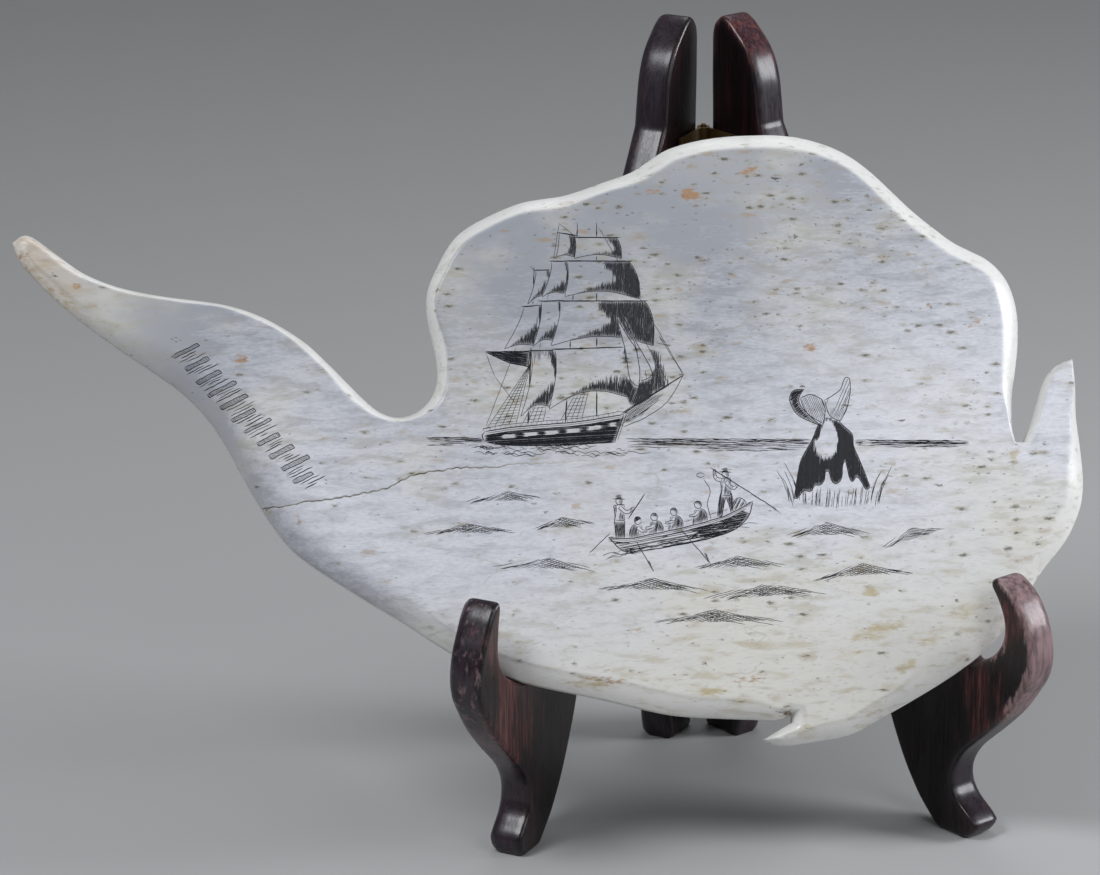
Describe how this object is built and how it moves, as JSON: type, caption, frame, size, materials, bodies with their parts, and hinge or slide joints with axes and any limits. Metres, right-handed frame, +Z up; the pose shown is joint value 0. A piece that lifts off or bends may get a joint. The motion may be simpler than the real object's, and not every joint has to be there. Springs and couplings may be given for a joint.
{
  "type": "scrimshaw whale bone on a display stand",
  "caption": "Panel of polished whale bone engraved with a whaling scene, leaning upright in the crooks of a small folding display stand of dark wood.",
  "frame": {"origin": "middle of the whole object's footprint, on the surface it stands on", "axes": "+X along the bone's length, to the right of someone facing its engraved side; -Y towards that person; +Z up"},
  "size_m": [0.2684, 0.107, 0.1973],
  "materials": {
    "polished_bone": "polished bone, satin, off-white with small dark pores, ochre stains and black inked engraving",
    "dark_rosewood": "polished dark reddish-brown rosewood, worn lighter along the grain",
    "aged_brass": "aged, dull"
  },
  "bodies": {
    "root": {"whale_bone": "polished_bone", "stand_left": "dark_rosewood", "stand_right": "dark_rosewood", "hinge_leaf_left": "aged_brass", "hinge_leaf_right": "aged_brass", "hinge_pin": "aged_brass"}
  },
  "joints": []
}
